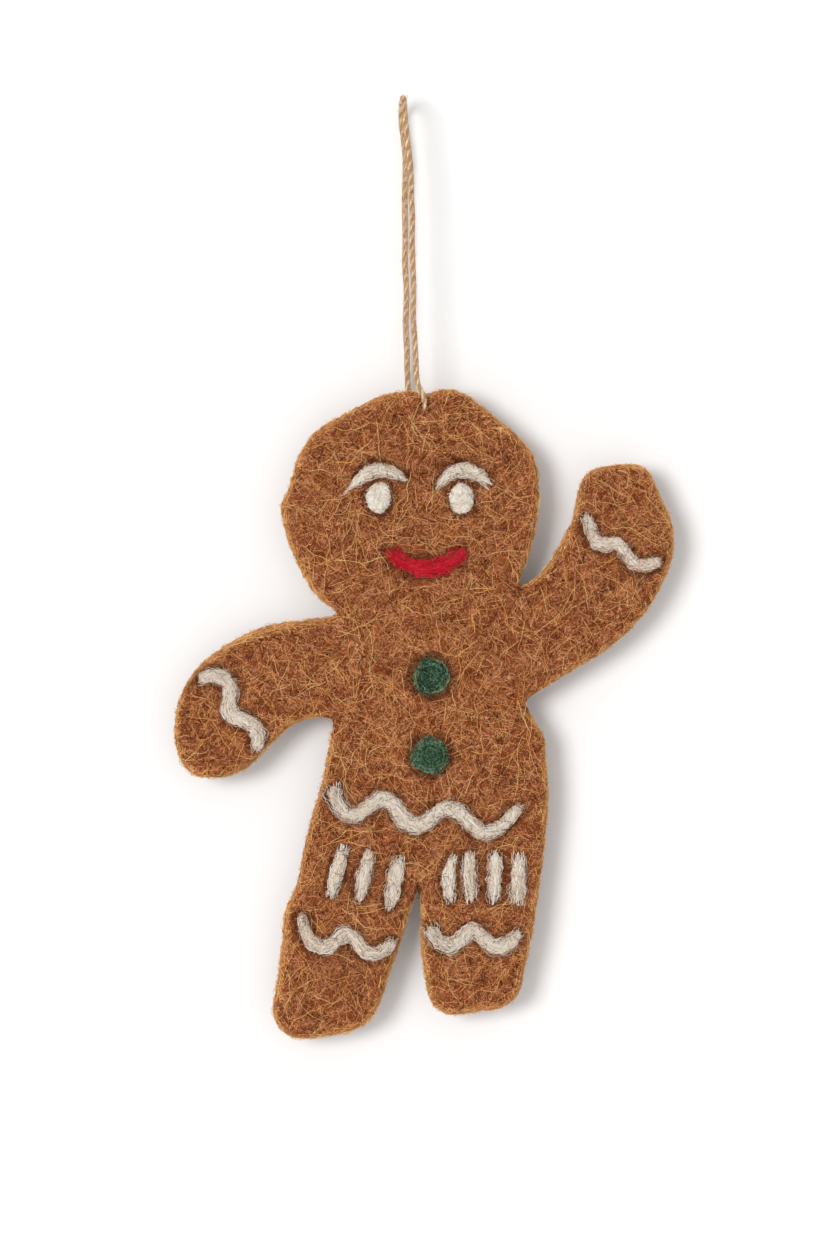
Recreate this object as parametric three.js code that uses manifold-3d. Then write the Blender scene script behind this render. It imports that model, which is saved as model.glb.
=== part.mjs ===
// Felt gingerbread ornament on a loop of twine.
// Two layers of thick wool felt are cut to one outline and felted together.
// Their front carries needle-felted wool decorations.
// The twine goes through one needle hole under the top of the head and is knotted behind it.
// Millimetres. +Z is up, +X is to the right as seen from the front, and the front faces -Y.
// The origin is the inside of the loop's top bend, where a hook carries it.

import * as THREE from "three";
import { mergeVertices } from "three/addons/utils/BufferGeometryUtils.js";
import Module from "manifold-3d";

const wasm = await Module();
wasm.setup();

// Driving dimensions of the figure
const figureWidth = 115.4;
const figureHeight = 150;
const figureTopBelowHook = 66.8;
const figureLeftOfHook = 52.8;
const frontFeltThickness = 3;
const backFeltThickness = 3;
const feltEdgeRound = 0.8;
const outlineStep = 3.2;

// Driving dimensions of the twine
const twineDiameter = 1.25;
const twineClearance = 0.3;
const knotDiameter = 3.2;

// Driving dimensions of the wool decorations
const strandHeight = 1;
const waistStrandWidth = 3.1;
const leftCuffStrandWidth = 3.4;
const rightCuffStrandWidth = 2.8;
const ankleStrandWidth = 3;
const barWidth = 3.1;
const browWidth = 2.9;
const mouthWidth = 4;
const mouthHeight = 1.1;
const buttonDiameter = 9.5;
const buttonHeight = 1.5;
const eyeWidth = 5.9;
const eyeLength = 7.5;
const eyeHeight = 1.4;

const feltColour = 0x985c30;
const creamWoolColour = 0xe1d7c8;
const redWoolColour = 0xc41a30;
const greenWoolColour = 0x1e5f41;
const twineColour = 0xbe9b73;

// Outline of the figure in shares of its width and height, from its lower left corner.
// Each stretch is one smooth cut of the scissors, and ends in a corner.
const neckLeftShare = [0.339, 0.651];
const headLeftShares = [
  [0.306, 0.669], [0.275, 0.691], [0.257, 0.718], [0.237, 0.749], [0.22, 0.789], [0.214, 0.822],
  [0.231, 0.847], [0.237, 0.869], [0.251, 0.9], [0.289, 0.939], [0.352, 0.966], [0.409, 0.988],
  [0.462, 0.997], [0.488, 0.996],
];
const notchShare = [0.503, 0.99];
const headRightShares = [
  [0.518, 0.997], [0.542, 1], [0.577, 0.995], [0.628, 0.966], [0.68, 0.932], [0.706, 0.911],
  [0.722, 0.891], [0.729, 0.844], [0.726, 0.811], [0.719, 0.774], [0.705, 0.738], [0.691, 0.708],
];
const neckRightShare = [0.675, 0.684];
const raisedArmShares = [
  [0.722, 0.708], [0.745, 0.726], [0.768, 0.755], [0.787, 0.782], [0.8, 0.803], [0.805, 0.829],
  [0.812, 0.85], [0.818, 0.865], [0.837, 0.876], [0.86, 0.881], [0.918, 0.885], [0.941, 0.881],
  [0.956, 0.867], [0.967, 0.841], [0.983, 0.82], [0.996, 0.794], [1, 0.768], [0.99, 0.726],
  [0.956, 0.673], [0.925, 0.641], [0.883, 0.611], [0.837, 0.587], [0.779, 0.56], [0.737, 0.54],
];
const armpitRightShare = [0.699, 0.52];
const rightSideShares = [
  [0.718, 0.49], [0.74, 0.463], [0.744, 0.411], [0.747, 0.371], [0.744, 0.33], [0.735, 0.265],
  [0.723, 0.2], [0.712, 0.148], [0.699, 0.106], [0.693, 0.077], [0.68, 0.06], [0.657, 0.048],
  [0.598, 0.041], [0.556, 0.036], [0.539, 0.039], [0.518, 0.052], [0.507, 0.07], [0.501, 0.102],
  [0.495, 0.135], [0.494, 0.183], [0.496, 0.226],
];
const crotchShare = [0.49, 0.254];
const leftSideShares = [
  [0.482, 0.228], [0.474, 0.206], [0.459, 0.167], [0.446, 0.135], [0.43, 0.102], [0.421, 0.077],
  [0.408, 0.051], [0.391, 0.031], [0.366, 0.015], [0.332, 0.008], [0.26, 0], [0.231, 0.003],
  [0.206, 0.021], [0.196, 0.041], [0.202, 0.07], [0.216, 0.142], [0.219, 0.177], [0.223, 0.2],
  [0.235, 0.219], [0.246, 0.239], [0.256, 0.277], [0.269, 0.323], [0.296, 0.395], [0.313, 0.459],
];
const armpitLeftShare = [0.321, 0.493];
const loweredArmShares = [
  [0.305, 0.497], [0.273, 0.495], [0.24, 0.487], [0.208, 0.466], [0.153, 0.423], [0.121, 0.409],
  [0.084, 0.402], [0.043, 0.404], [0.019, 0.419], [0.003, 0.448], [0, 0.479], [0.006, 0.512],
  [0.019, 0.54], [0.038, 0.563],
];
// The back layer was cut a little wider along the top of the lowered arm.
// It shows there behind the front one.
const loweredArmTopFrontShares = [
  [0.065, 0.583], [0.107, 0.604], [0.144, 0.618], [0.18, 0.629], [0.227, 0.637], [0.281, 0.645],
];
const loweredArmTopBackShares = [
  [0.063, 0.585], [0.103, 0.607], [0.141, 0.623], [0.179, 0.635], [0.225, 0.642], [0.281, 0.647],
];

// Places of the decorations and the needle hole, in the same shares.
const holeShare = [0.502, 0.97];
const leftEyeShare = [0.409, 0.833];
const rightEyeShare = [0.575, 0.832];
const upperButtonShare = [0.514, 0.558];
const lowerButtonShare = [0.512, 0.436];
const leftBrowShares = [[0.361, 0.855], [0.381, 0.872], [0.409, 0.878], [0.439, 0.873], [0.462, 0.864]];
const rightBrowShares = [[0.528, 0.851], [0.548, 0.87], [0.577, 0.879], [0.605, 0.872], [0.63, 0.857]];
const mouthShares = [
  [0.424, 0.752], [0.44, 0.742], [0.466, 0.731], [0.502, 0.724], [0.539, 0.73], [0.565, 0.742],
  [0.583, 0.755],
];
const waistShares = [
  [0.317, 0.39], [0.323, 0.371], [0.338, 0.351], [0.361, 0.344], [0.387, 0.356], [0.414, 0.37],
  [0.438, 0.362], [0.455, 0.342], [0.476, 0.328], [0.501, 0.332], [0.526, 0.349], [0.548, 0.355],
  [0.573, 0.347], [0.595, 0.33], [0.619, 0.318], [0.646, 0.323], [0.67, 0.34], [0.695, 0.359],
];
const leftCuffShares = [
  [0.049, 0.552], [0.075, 0.56], [0.1, 0.554], [0.113, 0.537], [0.11, 0.514], [0.119, 0.498],
  [0.14, 0.492], [0.161, 0.481], [0.17, 0.464], [0.162, 0.444],
];
const rightCuffShares = [
  [0.824, 0.807], [0.831, 0.788], [0.843, 0.766], [0.864, 0.76], [0.887, 0.762], [0.903, 0.746],
  [0.921, 0.731], [0.945, 0.728], [0.975, 0.737],
];
const leftAnkleShares = [
  [0.256, 0.193], [0.259, 0.173], [0.272, 0.151], [0.295, 0.14], [0.32, 0.149], [0.345, 0.162],
  [0.365, 0.151], [0.381, 0.135], [0.403, 0.131], [0.426, 0.14], [0.44, 0.153],
];
const rightAnkleShares = [
  [0.51, 0.174], [0.524, 0.154], [0.547, 0.142], [0.573, 0.152], [0.596, 0.168], [0.617, 0.156],
  [0.64, 0.142], [0.667, 0.146], [0.691, 0.167],
];
// Each bar runs from its top to its foot.
const leftBarShares = [
  [[0.339, 0.296], [0.313, 0.221]],
  [[0.391, 0.291], [0.37, 0.211]],
  [[0.45, 0.279], [0.43, 0.199]],
];
const rightBarShares = [
  [[0.558, 0.282], [0.548, 0.248], [0.552, 0.213]],
  [[0.592, 0.287], [0.591, 0.25], [0.594, 0.213]],
  [[0.642, 0.287], [0.641, 0.249], [0.638, 0.211]],
  [[0.688, 0.284], [0.688, 0.247], [0.684, 0.21]],
];

// Route of the twine: out through the needle hole, up the front, round the bend at the top
// and down the back to the knot.
const twineRoute = [
  [5.1, 2.9, -71.3], [5.1, -0.2, -71.3], [5.1, -3.2, -71.3], [5.05, -4.33, -70.83], [4.95, -4.8, -69.7],
  [4.6, -4.85, -68], [3.6, -4.8, -66.2], [3.15, -4.8, -63.5], [2.95, -4.75, -60], [2.7, -4.7, -55],
  [2.35, -4.65, -49.3], [2.45, -4.6, -44.2], [2.3, -4.6, -39.1], [2.1, -4.5, -32.4], [2.2, -4.5, -27.1],
  [1.9, -4.45, -22.4], [1.85, -4.4, -17.4], [1.2, -4.4, -10.6], [0.45, -4.4, -3.75], [0.38, -3.81, -1.55],
  [0.24, -2.2, 0.06], [0, 0, 0.65], [-0.22, 2.2, 0.06], [-0.34, 3.81, -1.55], [-0.4, 4.4, -3.75],
  [0.55, 4.4, -12.3], [0.5, 4.4, -18.3], [0.45, 4.4, -24.1], [0.55, 4.4, -31.2], [0.5, 4.4, -38],
  [0.85, 4.45, -44.2], [0.6, 4.5, -50.9], [0.9, 4.5, -57.1], [1, 4.6, -62.5], [1.3, 4.8, -66.6],
  [2.3, 4.9, -68.8], [3.6, 4.9, -70],
];
// Where the stitch, the bending stretch in front and the one behind begin and end,
// as shares of the twine's length.
const stitchEndShare = 0.058;
const frontBendEndShare = 0.122;
const backBendStartShare = 0.925;
// The two cut ends that hang out of the knot, from the knot's centre.
const knotTails = [
  [[0, 0, 0], [-0.5, -0.1, -1.6], [-1.1, -0.4, -3.2], [-1.3, -0.6, -5]],
  [[0, 0, 0], [0.8, -0.1, -1.5], [1.5, -0.4, -2.8], [2.3, -0.6, -3.9]],
];

// A place given in shares, as a point of the figure's plane.
function figurePoint([xShare, yShare]) {
  return new THREE.Vector2(
    xShare * figureWidth - figureLeftOfHook,
    (yShare - 1) * figureHeight - figureTopBelowHook,
  );
}

// Points a step apart along one smooth cut, without its first point.
function cutPoints(shares) {
  const curve = new THREE.SplineCurve(shares.map(figurePoint));
  return curve.getSpacedPoints(Math.ceil(curve.getLength() / outlineStep)).slice(1);
}

// The closed outline of one felt layer, clockwise from the left of the neck, with the needle hole.
function layerShape(loweredArmTopShares) {
  const corners = [
    neckLeftShare,
    notchShare,
    neckRightShare,
    armpitRightShare,
    crotchShare,
    armpitLeftShare,
  ];
  const cuts = [
    headLeftShares,
    headRightShares,
    raisedArmShares,
    rightSideShares,
    leftSideShares,
    [...loweredArmShares, ...loweredArmTopShares],
  ];
  const points = cuts.flatMap((cut, i) => {
    const nextCorner = corners[(i + 1) % corners.length];
    return cutPoints([corners[i], ...cut, nextCorner]);
  });
  const shape = new THREE.Shape(points);
  const centre = figurePoint(holeShare);
  const holeRadius = twineDiameter / 2 + twineClearance;
  shape.holes.push(new THREE.Path().absarc(centre.x, centre.y, holeRadius, 0, 2 * Math.PI));
  return shape;
}

// A felt layer from z = 0 to its thickness, with its cut edges rounded.
function feltLayerGeometry(shape, thickness) {
  const geometry = new THREE.ExtrudeGeometry(shape, {
    depth: thickness - 2 * feltEdgeRound,
    bevelThickness: feltEdgeRound,
    bevelSize: feltEdgeRound,
    bevelOffset: -feltEdgeRound,
    bevelSegments: 2,
    curveSegments: 12,
  });
  return geometry.translate(0, 0, feltEdgeRound);
}

// Distances along a strand, and how full it is there: it grows out of a round tip and ends in one.
function strandStations(length, width) {
  const tipSteps = 3;
  const middleSteps = Math.max(2, Math.ceil((2 * (length - width)) / width));
  const tip = Array.from({ length: tipSteps + 1 }, (_, k) => {
    const turn = ((k / tipSteps) * Math.PI) / 2;
    return { along: (width / 2) * (1 - Math.cos(turn)), fullness: Math.sin(turn) };
  });
  const middle = Array.from({ length: middleSteps - 1 }, (_, k) => {
    return { along: width / 2 + ((length - width) * (k + 1)) / middleSteps, fullness: 1 };
  });
  const farTip = tip.map(({ along, fullness }) => ({ along: length - along, fullness })).reverse();
  return [...tip, ...middle, ...farTip];
}

// A strand of wool along a path of shares: a half-round ridge that lies on z = 0, with rounded tips.
// endShare is how wide its ends are against its middle.
function strandGeometry(shares, width, height, endShare = 1) {
  const sides = 6;
  const path = new THREE.SplineCurve(shares.map(figurePoint));
  const length = path.getLength();
  const rings = strandStations(length, width).map(({ along, fullness }) => {
    const share = along / length;
    const centre = path.getPointAt(share);
    const tangent = path.getTangentAt(share);
    const size = fullness * (endShare + (1 - endShare) * Math.sin(share * Math.PI));
    return Array.from({ length: sides + 1 }, (_, j) => {
      const turn = (j / sides) * Math.PI;
      const across = (Math.cos(turn) * size * width) / 2;
      return [centre.x - tangent.y * across, centre.y + tangent.x * across, Math.sin(turn) * size * height];
    });
  });
  return closedLoft(rings);
}

// Joins rings of points into one closed body. The first and the last ring are drawn together to a point.
function closedLoft(rings) {
  const count = rings[0].length;
  const inner = rings.slice(1, -1);
  const positions = [rings[0][0], ...inner.flat(), rings.at(-1)[0]];
  const last = positions.length - 1;
  const indices = [];
  for (let j = 0; j < count; j++) {
    const next = (j + 1) % count;
    indices.push(0, 1 + next, 1 + j);
    for (let i = 0; i < inner.length - 1; i++) {
      const here = 1 + i * count;
      const there = here + count;
      indices.push(here + j, there + next, there + j);
      indices.push(here + j, here + next, there + next);
    }
    indices.push(last, last - count + j, last - count + next);
  }
  const geometry = new THREE.BufferGeometry();
  geometry.setAttribute("position", new THREE.Float32BufferAttribute(positions.flat(), 3));
  geometry.setIndex(indices);
  return geometry;
}

// A felted dome on z = 0: a flat foot and a softly crowned top.
function domeGeometry(diameter, height) {
  const crownSteps = 6;
  const profile = [new THREE.Vector2(0, 0)];
  for (let k = 0; k <= crownSteps; k++) {
    const turn = ((k / crownSteps) * Math.PI) / 2;
    const fullness = Math.pow(Math.sin(turn), 0.8);
    profile.push(new THREE.Vector2((Math.cos(turn) * diameter) / 2, fullness * height));
  }
  profile.at(-1).x = 0;
  return new THREE.LatheGeometry(profile, 24).rotateX(Math.PI / 2);
}

// A round tube of twine along a curve.
function twineGeometry(curve, ringSpacing) {
  const section = new THREE.Shape();
  const sides = 8;
  for (let k = 0; k < sides; k++) {
    const turn = (k / sides) * 2 * Math.PI;
    const x = (Math.cos(turn) * twineDiameter) / 2;
    const y = (Math.sin(turn) * twineDiameter) / 2;
    if (k === 0) section.moveTo(x, y);
    else section.lineTo(x, y);
  }
  return new THREE.ExtrudeGeometry(section, {
    extrudePath: curve,
    steps: Math.ceil(curve.getLength() / ringSpacing),
    bevelEnabled: false,
  });
}

// The part of a curve between two shares of its length.
class Stretch extends THREE.Curve {
  constructor(whole, from, to) {
    super();
    this.whole = whole;
    this.from = from;
    this.to = to;
  }

  getPoint(t, target = new THREE.Vector3()) {
    return this.whole.getPointAt(THREE.MathUtils.lerp(this.from, this.to, t), target);
  }
}

function routeCurve(points) {
  return new THREE.CatmullRomCurve3(points.map((point) => new THREE.Vector3(...point)));
}

// A closed geometry as a solid that can be joined or cut.
function solidOf(geometry) {
  const bare = geometry.clone();
  bare.deleteAttribute("normal");
  bare.deleteAttribute("uv");
  const merged = mergeVertices(bare);
  const vertProperties = new Float32Array(merged.attributes.position.array);
  const triVerts = new Uint32Array(merged.index.array);
  return new wasm.Manifold(new wasm.Mesh({ numProp: 3, vertProperties, triVerts }));
}

function geometryOf(solid) {
  const { vertProperties, triVerts } = solid.getMesh();
  const geometry = new THREE.BufferGeometry();
  geometry.setAttribute("position", new THREE.BufferAttribute(vertProperties, 3));
  geometry.setIndex(new THREE.BufferAttribute(triVerts, 1));
  return geometry;
}

// The knot that closes the loop: a tight ball of twine with its two cut ends.
function knotGeometry() {
  const ball = new THREE.SphereGeometry(knotDiameter / 2, 16, 10);
  const tails = knotTails.map((points) => twineGeometry(routeCurve(points), twineDiameter));
  return geometryOf(tails.reduce((knot, tail) => knot.add(solidOf(tail)), solidOf(ball)));
}

function makeMesh(name, geometry, colour, roughness) {
  const material = new THREE.MeshStandardMaterial({ color: colour, roughness, metalness: 0 });
  const mesh = new THREE.Mesh(geometry, material);
  mesh.name = name;
  return mesh;
}

const woolRoughness = 0.95;
const twineRoughness = 0.9;

// The two felt layers lie back to back on the plane y = 0.
function makeFeltLayers() {
  const layers = new THREE.Group();
  const front = feltLayerGeometry(layerShape(loweredArmTopFrontShares), frontFeltThickness);
  const back = feltLayerGeometry(layerShape(loweredArmTopBackShares), backFeltThickness);
  const frontMesh = makeMesh("front_felt", front, feltColour, woolRoughness);
  const backMesh = makeMesh("back_felt", back, feltColour, woolRoughness);
  backMesh.position.z = -backFeltThickness;
  layers.add(frontMesh, backMesh);
  layers.rotation.x = Math.PI / 2;
  return layers;
}

function makeStrand(name, shares, width, endShare = 1) {
  const geometry = strandGeometry(shares, width, strandHeight, endShare);
  return makeMesh(name, geometry, creamWoolColour, woolRoughness);
}

function makeDome(name, share, diameter, length, height, colour) {
  const mesh = makeMesh(name, domeGeometry(diameter, height), colour, woolRoughness);
  const centre = figurePoint(share);
  mesh.position.set(centre.x, centre.y, 0);
  mesh.scale.y = length / diameter;
  return mesh;
}

function makeFace() {
  const face = new THREE.Group();
  const browEndShare = 0.6;
  const mouthEndShare = 0.55;
  const mouth = strandGeometry(mouthShares, mouthWidth, mouthHeight, mouthEndShare);
  face.add(
    makeStrand("left_brow", leftBrowShares, browWidth, browEndShare),
    makeStrand("right_brow", rightBrowShares, browWidth, browEndShare),
    makeDome("left_eye", leftEyeShare, eyeWidth, eyeLength, eyeHeight, creamWoolColour),
    makeDome("right_eye", rightEyeShare, eyeWidth, eyeLength, eyeHeight, creamWoolColour),
    makeMesh("smile", mouth, redWoolColour, woolRoughness),
  );
  return face;
}

function makeButtons() {
  const buttons = new THREE.Group();
  const places = { upper_button: upperButtonShare, lower_button: lowerButtonShare };
  for (const [name, share] of Object.entries(places)) {
    buttons.add(makeDome(name, share, buttonDiameter, buttonDiameter, buttonHeight, greenWoolColour));
  }
  return buttons;
}

function makeIcing() {
  const barEndShare = 0.7;
  const makeBar = (name, shares) => makeStrand(name, shares, barWidth, barEndShare);
  const icing = new THREE.Group();
  icing.add(
    makeStrand("waist_wave", waistShares, waistStrandWidth),
    makeStrand("left_cuff_wave", leftCuffShares, leftCuffStrandWidth),
    makeStrand("right_cuff_wave", rightCuffShares, rightCuffStrandWidth),
    makeStrand("left_ankle_wave", leftAnkleShares, ankleStrandWidth),
    makeStrand("right_ankle_wave", rightAnkleShares, ankleStrandWidth),
  );
  leftBarShares.forEach((shares, i) => icing.add(makeBar(`left_leg_bar_${i + 1}`, shares)));
  rightBarShares.forEach((shares, i) => icing.add(makeBar(`right_leg_bar_${i + 1}`, shares)));
  return icing;
}

// Everything felted onto the front layer's face.
function makeDecorations() {
  const decorations = new THREE.Group();
  decorations.add(makeFace(), makeButtons(), makeIcing());
  decorations.rotation.x = Math.PI / 2;
  decorations.position.y = -frontFeltThickness;
  return decorations;
}

// The twine's stretches meet each other with a small gap, and so does the knot.
function makeTwine() {
  const twine = new THREE.Group();
  const route = routeCurve(twineRoute);
  const halfGapShare = twineClearance / 2 / route.getLength();
  const stretches = {
    twine_stitch: [0, stitchEndShare - halfGapShare, twineDiameter],
    front_twine_bend: [stitchEndShare + halfGapShare, frontBendEndShare - halfGapShare, twineDiameter],
    hanging_loop: [frontBendEndShare + halfGapShare, backBendStartShare - halfGapShare, 2 * twineDiameter],
    back_twine_bend: [backBendStartShare + halfGapShare, 1, twineDiameter],
  };
  for (const [name, [from, to, ringSpacing]] of Object.entries(stretches)) {
    const geometry = twineGeometry(new Stretch(route, from, to), ringSpacing);
    twine.add(makeMesh(name, geometry, twineColour, twineRoughness));
  }
  const knot = makeMesh("twine_knot", knotGeometry(), twineColour, twineRoughness);
  const hole = figurePoint(holeShare);
  knot.position.set(hole.x, backFeltThickness + twineClearance + knotDiameter / 2, hole.y);
  twine.add(knot);
  return twine;
}

const ornament = new THREE.Group();
ornament.add(makeFeltLayers(), makeDecorations(), makeTwine());

export default ornament;
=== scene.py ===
import math

import bmesh
import bpy
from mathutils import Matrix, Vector
from mathutils.geometry import interpolate_bezier


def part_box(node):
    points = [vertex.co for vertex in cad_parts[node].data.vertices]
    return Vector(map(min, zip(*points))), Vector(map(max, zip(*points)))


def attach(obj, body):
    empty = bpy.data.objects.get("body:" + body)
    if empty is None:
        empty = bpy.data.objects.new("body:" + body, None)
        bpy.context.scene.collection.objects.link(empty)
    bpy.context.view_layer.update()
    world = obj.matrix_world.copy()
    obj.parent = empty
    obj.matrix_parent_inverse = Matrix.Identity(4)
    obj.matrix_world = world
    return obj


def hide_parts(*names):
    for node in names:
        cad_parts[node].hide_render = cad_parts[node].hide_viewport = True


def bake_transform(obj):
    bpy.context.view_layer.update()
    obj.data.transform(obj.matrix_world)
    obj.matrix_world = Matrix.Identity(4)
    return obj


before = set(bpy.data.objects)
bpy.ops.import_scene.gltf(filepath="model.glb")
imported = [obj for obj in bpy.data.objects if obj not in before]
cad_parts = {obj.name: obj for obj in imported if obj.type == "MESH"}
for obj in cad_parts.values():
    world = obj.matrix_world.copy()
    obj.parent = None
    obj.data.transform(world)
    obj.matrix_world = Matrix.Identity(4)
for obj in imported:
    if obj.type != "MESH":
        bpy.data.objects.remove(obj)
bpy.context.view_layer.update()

MM = 0.001

# Sizes of the figure in millimetres, as in the CAD model. The hook point is the origin.
FIGURE_WIDTH = 115.4
FIGURE_HEIGHT = 150
FIGURE_TOP = -66.8
FIGURE_LEFT = -52.8
FRONT_FACE = -3
BACK_FACE = 3

# Where the wool lies, in shares of the figure's width and height.
EYES = {"left_eye": (0.409, 0.833), "right_eye": (0.575, 0.832)}
BUTTONS = {"upper_button": (0.514, 0.558), "lower_button": (0.512, 0.436)}
BROWS = {
    "left_brow": [
        (0.338, 0.839), (0.35, 0.847), (0.365, 0.858), (0.383, 0.869), (0.409, 0.875),
        (0.439, 0.87), (0.462, 0.861),
    ],
    "right_brow": [(0.528, 0.849), (0.548, 0.867), (0.577, 0.875), (0.605, 0.868), (0.63, 0.854)],
}
SMILE = [
    (0.431, 0.753), (0.444, 0.741), (0.466, 0.731), (0.502, 0.724), (0.539, 0.73), (0.565, 0.742),
    (0.58, 0.755),
]
WAVES = {
    "waist_wave": [
        (0.317, 0.39), (0.323, 0.371), (0.338, 0.351), (0.361, 0.344), (0.387, 0.356), (0.414, 0.37),
        (0.438, 0.362), (0.455, 0.342), (0.476, 0.328), (0.501, 0.332), (0.526, 0.349), (0.548, 0.355),
        (0.573, 0.347), (0.595, 0.33), (0.619, 0.318), (0.646, 0.323), (0.67, 0.34), (0.695, 0.359),
    ],
    "left_cuff_wave": [
        (0.049, 0.552), (0.075, 0.56), (0.1, 0.554), (0.113, 0.537), (0.11, 0.514), (0.119, 0.498),
        (0.14, 0.492), (0.161, 0.481), (0.17, 0.464), (0.162, 0.444),
    ],
    "right_cuff_wave": [
        (0.824, 0.807), (0.831, 0.788), (0.843, 0.766), (0.864, 0.76), (0.887, 0.762), (0.903, 0.746),
        (0.921, 0.731), (0.945, 0.728), (0.975, 0.737),
    ],
    "left_ankle_wave": [
        (0.256, 0.193), (0.259, 0.173), (0.272, 0.151), (0.295, 0.14), (0.32, 0.149), (0.345, 0.162),
        (0.365, 0.151), (0.381, 0.135), (0.403, 0.131), (0.426, 0.14), (0.44, 0.153),
    ],
    "right_ankle_wave": [
        (0.51, 0.174), (0.524, 0.154), (0.547, 0.142), (0.573, 0.152), (0.596, 0.168), (0.617, 0.156),
        (0.64, 0.142), (0.667, 0.146), (0.691, 0.167),
    ],
}
LEG_BARS = {
    "left_leg_bar_1": [(0.339, 0.296), (0.313, 0.221)],
    "left_leg_bar_2": [(0.391, 0.291), (0.37, 0.211)],
    "left_leg_bar_3": [(0.45, 0.279), (0.43, 0.199)],
    "right_leg_bar_1": [(0.558, 0.282), (0.548, 0.248), (0.552, 0.213)],
    "right_leg_bar_2": [(0.592, 0.287), (0.591, 0.25), (0.594, 0.213)],
    "right_leg_bar_3": [(0.642, 0.287), (0.641, 0.249), (0.638, 0.211)],
    "right_leg_bar_4": [(0.688, 0.284), (0.688, 0.247), (0.684, 0.21)],
}

# Inner corners of the outline: the crotch, both sides of the neck and both armpits.
INNER_CORNERS = [(0.491, 0.225), (0.343, 0.654), (0.68, 0.687), (0.314, 0.489), (0.712, 0.521)]

# How wide each line of wool is from its start to its end, against its usual width.
FULLNESS = {
    "left_brow": (0.12, 0.3, 0.75, 1, 1, 0.95, 0.8, 0.45),
    "right_brow": (0.5, 0.8, 1, 1.05, 1, 0.85, 0.7),
    "smile": (1, 1.05, 0.95, 1.05, 1.1, 1.05, 0.95, 0.95),
    "waist_wave": (1.5, 1.2, 0.9, 0.95, 0.95, 1.1, 1, 0.85, 1, 1, 0.85, 0.75, 0.5),
    "left_cuff_wave": (0.7, 0.95, 1, 0.9, 1, 0.9, 1, 0.9, 0.6),
    "right_cuff_wave": (0.8, 1, 0.8, 1, 0.85, 1, 0.9, 1, 0.5),
    "left_ankle_wave": (0.25, 0.6, 0.85, 1, 0.95, 1, 0.8, 1, 1, 0.9, 0.6),
    "right_ankle_wave": (1.15, 0.85, 1, 0.95, 1, 0.85, 1, 0.9, 0.55),
    "left_leg_bar_1": (0.85, 0.8, 0.9, 1, 1, 0.9),
    "left_leg_bar_2": (0.45, 0.7, 1, 1, 0.8, 0.4),
    "left_leg_bar_3": (0.7, 1, 1, 0.95, 0.9, 0.5),
    "right_leg_bar_1": (0.5, 0.8, 1, 1, 0.9, 0.8),
    "right_leg_bar_2": (0.7, 0.9, 1, 0.95, 0.9, 0.85),
    "right_leg_bar_3": (0.85, 1, 0.9, 0.85, 0.85, 0.7),
    "right_leg_bar_4": (0.8, 0.9, 0.95, 0.9, 1, 0.85),
}

# Route of the twine in millimetres: out of the needle hole, up the front, over and down the back.
TWINE_ROUTE = [
    (5.1, 2.9, -71.3), (5.1, -0.2, -71.3), (5.1, -3, -71.3), (5.05, -3.8, -70.83),
    (4.95, -4.2, -69.7), (4.6, -4.5, -68), (3.6, -4.75, -66.2), (3.15, -4.8, -63.5),
    (2.95, -4.75, -60), (2.7, -4.7, -55), (2.35, -4.65, -49.3), (2.45, -4.6, -44.2),
    (2.3, -4.6, -39.1), (2.1, -4.5, -32.4), (2.2, -4.5, -27.1), (1.9, -4.45, -22.4),
    (1.85, -4.4, -17.4), (1.2, -4.4, -10.6), (0.45, -4.4, -3.75), (0.38, -3.81, -1.55),
    (0.24, -2.2, 0.06), (0, 0, 0.65), (-0.22, 2.2, 0.06), (-0.34, 3.81, -1.55),
    (-0.4, 4.4, -3.75), (0.55, 4.4, -12.3), (0.5, 4.4, -18.3), (0.45, 4.4, -24.1),
    (0.55, 4.4, -31.2), (0.5, 4.4, -38), (0.85, 4.45, -44.2), (0.6, 4.5, -50.9),
    (0.9, 4.5, -57.1), (1, 4.6, -62.5), (1.3, 4.8, -66.6), (2.3, 4.9, -68.8), (3.6, 4.9, -70),
]
TWINE_DIAMETER = 1.25

# How thick the twine is along its route: drawn thin through the felt, fuller on the back run.
TWINE_FULLNESS = (
    0.5, 0.66, 0.9, 1, 0.96, 1, 1.04, 0.98, 1, 0.95, 1.02, 1, 0.98, 0.95, 1, 1.08, 1.04, 1.12, 1.1,
    1.06, 1.15, 1.1, 1.14, 1.05, 1.1, 1.12, 1.04, 1, 0.9,
)
KNOT_CENTRE = (5.13, 4.9, -71.3)

# The middle of the needle hole in metres. The knot sits over its rear end.
NEEDLE_HOLE = Vector((KNOT_CENTRE[0], 0, KNOT_CENTRE[2])) * MM


def place(share, depth=FRONT_FACE):
    """A point of the figure given in shares, at a depth in millimetres, as a place in metres."""
    x = share[0] * FIGURE_WIDTH + FIGURE_LEFT
    z = (share[1] - 1) * FIGURE_HEIGHT + FIGURE_TOP
    return Vector((x, depth, z)) * MM


def smooth_route(points, step):
    """Points about a step apart on a smooth curve through the given points."""
    points = [Vector(point) for point in points]
    ends = [points[0] * 2 - points[1], *points, points[-1] * 2 - points[-2]]
    route = [points[0]]
    for a, b, c, d in zip(ends, ends[1:], ends[2:], ends[3:]):
        before, here, after = ((q - p).length ** 0.5 for p, q in ((a, b), (b, c), (c, d)))
        leave = (b - a) / before - (c - a) / (before + here) + (c - b) / here
        arrive = (c - b) / here - (d - b) / (here + after) + (d - c) / after
        count = max(2, math.ceil((c - b).length / step) + 1)
        bend = interpolate_bezier(b, b + leave * here / 3, c - arrive * here / 3, c, count)
        route.extend(bend[1:])
    return route


def route_length(route):
    return sum((b - a).length for a, b in zip(route, route[1:]))


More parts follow.
